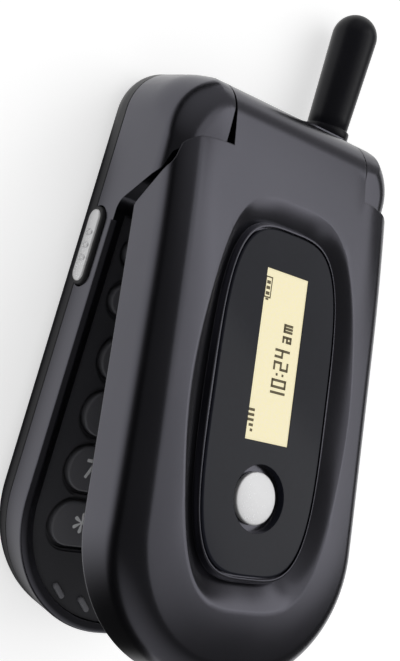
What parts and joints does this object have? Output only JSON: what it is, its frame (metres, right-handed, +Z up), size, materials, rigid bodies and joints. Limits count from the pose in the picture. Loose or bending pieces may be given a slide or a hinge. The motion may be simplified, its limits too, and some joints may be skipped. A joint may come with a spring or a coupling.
{
  "type": "flip phone",
  "caption": "Slim clamshell phone with a stub antenna: a round-ended lid with an oval lens, a small outer display and a silver disc over a keypad, on a knuckled barrel hinge.",
  "frame": {"origin": "centre of the flat back face, on which the phone lies", "axes": "+Z up through keypad and lid, +Y along the phone to its hinge and antenna, +X to the phone's right side seen from the front"},
  "size_m": [0.0476, 0.1142, 0.0409],
  "materials": {
    "housing_black": "satin black lacquer, faint cool sheen",
    "plate_grey": "matt dark grey",
    "pad_grey": "soft grey",
    "battery_wrap": "printed wrap left plain",
    "contact_gold": "plated spring blades",
    "board_green": "solder mask",
    "tin_shield": "tinned sheet",
    "dome_film": "clear film over steel domes",
    "soft_rubber": "matt",
    "silver_paint": "satin silver lacquer",
    "key_grey": "satin dark grey, light legends",
    "socket_black": "moulded",
    "antenna_rubber": "soft matt sleeve",
    "insert_brass": "turned",
    "hinge_steel": "turned",
    "smoked_lens": "smoked, clear over the display",
    "outer_lcd": "cream backlit face",
    "silver_disc": "bright, brushed",
    "clear_window": "clear, thin",
    "inner_lcd": "dark, switched off",
    "flex_amber": "polyimide film"
  },
  "bodies": {
    "base": {"rear_housing": "housing_black", "front_housing": "housing_black", "keypad_plate": "plate_grey", "rest_pads": "pad_grey", "battery": "battery_wrap", "battery_contacts": "contact_gold", "main_board": "board_green", "shield_can": "tin_shield", "dome_sheet": "dome_film", "key_mat": "soft_rubber", "rocker_switch": "socket_black", "microphone": "tin_shield", "loudspeaker": "socket_black", "vibration_motor": "tin_shield", "headset_jack": "socket_black", "charging_port": "tin_shield", "antenna": "antenna_rubber", "antenna_insert": "insert_brass", "hinge_cartridge": "hinge_steel", "hinge_pivot": "hinge_steel", "housing_screws": "hinge_steel"},
    "lid": {"lid_outer_shell": "housing_black", "lid_inner_shell": "plate_grey", "lens_panel": "smoked_lens", "outer_display": "outer_lcd", "emblem_disc": "silver_disc", "inner_window": "clear_window", "inner_display": "inner_lcd", "earpiece": "socket_black", "earpiece_grille": "silver_paint", "lid_board": "board_green", "flex_cable": "flex_amber", "lid_screws": "hinge_steel", "screw_plugs": "soft_rubber", "hinge_cam": "hinge_steel"},
    "nav_tilt": {"nav_actuator": "soft_rubber"},
    "nav": {"nav_ring": "silver_paint"},
    "select": {"select_key": "key_grey"},
    "rocker": {"volume_rocker": "silver_paint"},
    "cover": {"battery_cover": "housing_black"},
    "jack_flap": {"jack_cover": "soft_rubber"},
    "key_1": {"key_1": "key_grey"},
    "key_2": {"key_2": "key_grey"},
    "key_3": {"key_3": "key_grey"},
    "key_4": {"key_4": "key_grey"},
    "key_5": {"key_5": "key_grey"},
    "key_6": {"key_6": "key_grey"},
    "key_7": {"key_7": "key_grey"},
    "key_8": {"key_8": "key_grey"},
    "key_9": {"key_9": "key_grey"},
    "key_star": {"key_star": "key_grey"},
    "key_0": {"key_0": "key_grey"},
    "key_hash": {"key_hash": "key_grey"},
    "soft_key_left": {"soft_key_left": "key_grey"},
    "soft_key_right": {"soft_key_right": "key_grey"},
    "send_key": {"send_key": "key_grey"},
    "end_key": {"end_key": "key_grey"}
  },
  "joints": [
    {"name": "flip_hinge", "type": "hinge", "parent": "base", "child": "lid", "pos_m": [0, 0.03795, 0.0146], "axis": [-1, 0, 0], "range_deg": [-14, 131]},
    {"name": "key_1_press", "type": "slide", "parent": "base", "child": "key_1", "axis": [0, 0, -1], "range_m": [0, 0.0004], "stiffness_N_per_m": 4000},
    {"name": "key_2_press", "type": "slide", "parent": "base", "child": "key_2", "axis": [0, 0, -1], "range_m": [0, 0.0004], "stiffness_N_per_m": 4000},
    {"name": "key_3_press", "type": "slide", "parent": "base", "child": "key_3", "axis": [0, 0, -1], "range_m": [0, 0.0004], "stiffness_N_per_m": 4000},
    {"name": "key_4_press", "type": "slide", "parent": "base", "child": "key_4", "axis": [0, 0, -1], "range_m": [0, 0.0004], "stiffness_N_per_m": 4000},
    {"name": "key_5_press", "type": "slide", "parent": "base", "child": "key_5", "axis": [0, 0, -1], "range_m": [0, 0.0004], "stiffness_N_per_m": 4000},
    {"name": "key_6_press", "type": "slide", "parent": "base", "child": "key_6", "axis": [0, 0, -1], "range_m": [0, 0.0004], "stiffness_N_per_m": 4000},
    {"name": "key_7_press", "type": "slide", "parent": "base", "child": "key_7", "axis": [0, 0, -1], "range_m": [0, 0.0004], "stiffness_N_per_m": 4000},
    {"name": "key_8_press", "type": "slide", "parent": "base", "child": "key_8", "axis": [0, 0, -1], "range_m": [0, 0.0004], "stiffness_N_per_m": 4000},
    {"name": "key_9_press", "type": "slide", "parent": "base", "child": "key_9", "axis": [0, 0, -1], "range_m": [0, 0.0004], "stiffness_N_per_m": 4000},
    {"name": "key_star_press", "type": "slide", "parent": "base", "child": "key_star", "axis": [0, 0, -1], "range_m": [0, 0.0004], "stiffness_N_per_m": 4000},
    {"name": "key_0_press", "type": "slide", "parent": "base", "child": "key_0", "axis": [0, 0, -1], "range_m": [0, 0.0004], "stiffness_N_per_m": 4000},
    {"name": "key_hash_press", "type": "slide", "parent": "base", "child": "key_hash", "axis": [0, 0, -1], "range_m": [0, 0.0004], "stiffness_N_per_m": 4000},
    {"name": "soft_key_left_press", "type": "slide", "parent": "base", "child": "soft_key_left", "axis": [0, 0, -1], "range_m": [0, 0.0004], "stiffness_N_per_m": 4000},
    {"name": "soft_key_right_press", "type": "slide", "parent": "base", "child": "soft_key_right", "axis": [0, 0, -1], "range_m": [0, 0.0004], "stiffness_N_per_m": 4000},
    {"name": "send_key_press", "type": "slide", "parent": "base", "child": "send_key", "axis": [0, 0, -1], "range_m": [0, 0.0004], "stiffness_N_per_m": 4000},
    {"name": "end_key_press", "type": "slide", "parent": "base", "child": "end_key", "axis": [0, 0, -1], "range_m": [0, 0.0004], "stiffness_N_per_m": 4000},
    {"name": "select_key_press", "type": "slide", "parent": "base", "child": "select", "axis": [0, 0, -1], "range_m": [0, 0.0004], "stiffness_N_per_m": 4000},
    {"name": "nav_left_right", "type": "hinge", "parent": "base", "child": "nav_tilt", "pos_m": [0, 0.01225, 0.0086], "axis": [0, 1, 0], "range_deg": [-2, 2], "stiffness_Nm_per_rad": 0.6},
    {"name": "nav_up_down", "type": "hinge", "parent": "nav_tilt", "child": "nav", "pos_m": [0, 0.01225, 0.0086], "axis": [1, 0, 0], "range_deg": [-2, 2], "stiffness_Nm_per_rad": 0.6},
    {"name": "volume_rock", "type": "hinge", "parent": "base", "child": "rocker", "pos_m": [-0.0214, 0.01515, 0.0071], "axis": [0, 0, 1], "range_deg": [-2.5, 2.5], "stiffness_Nm_per_rad": 0.8},
    {"name": "cover_slide", "type": "slide", "parent": "base", "child": "cover", "axis": [0, -1, 0], "range_m": [0, 0.006]},
    {"name": "jack_flap_swing", "type": "hinge", "parent": "base", "child": "jack_flap", "pos_m": [-0.0015, 0.04595, 0.0044], "axis": [0, 0, 1], "range_deg": [0, 100]}
  ]
}
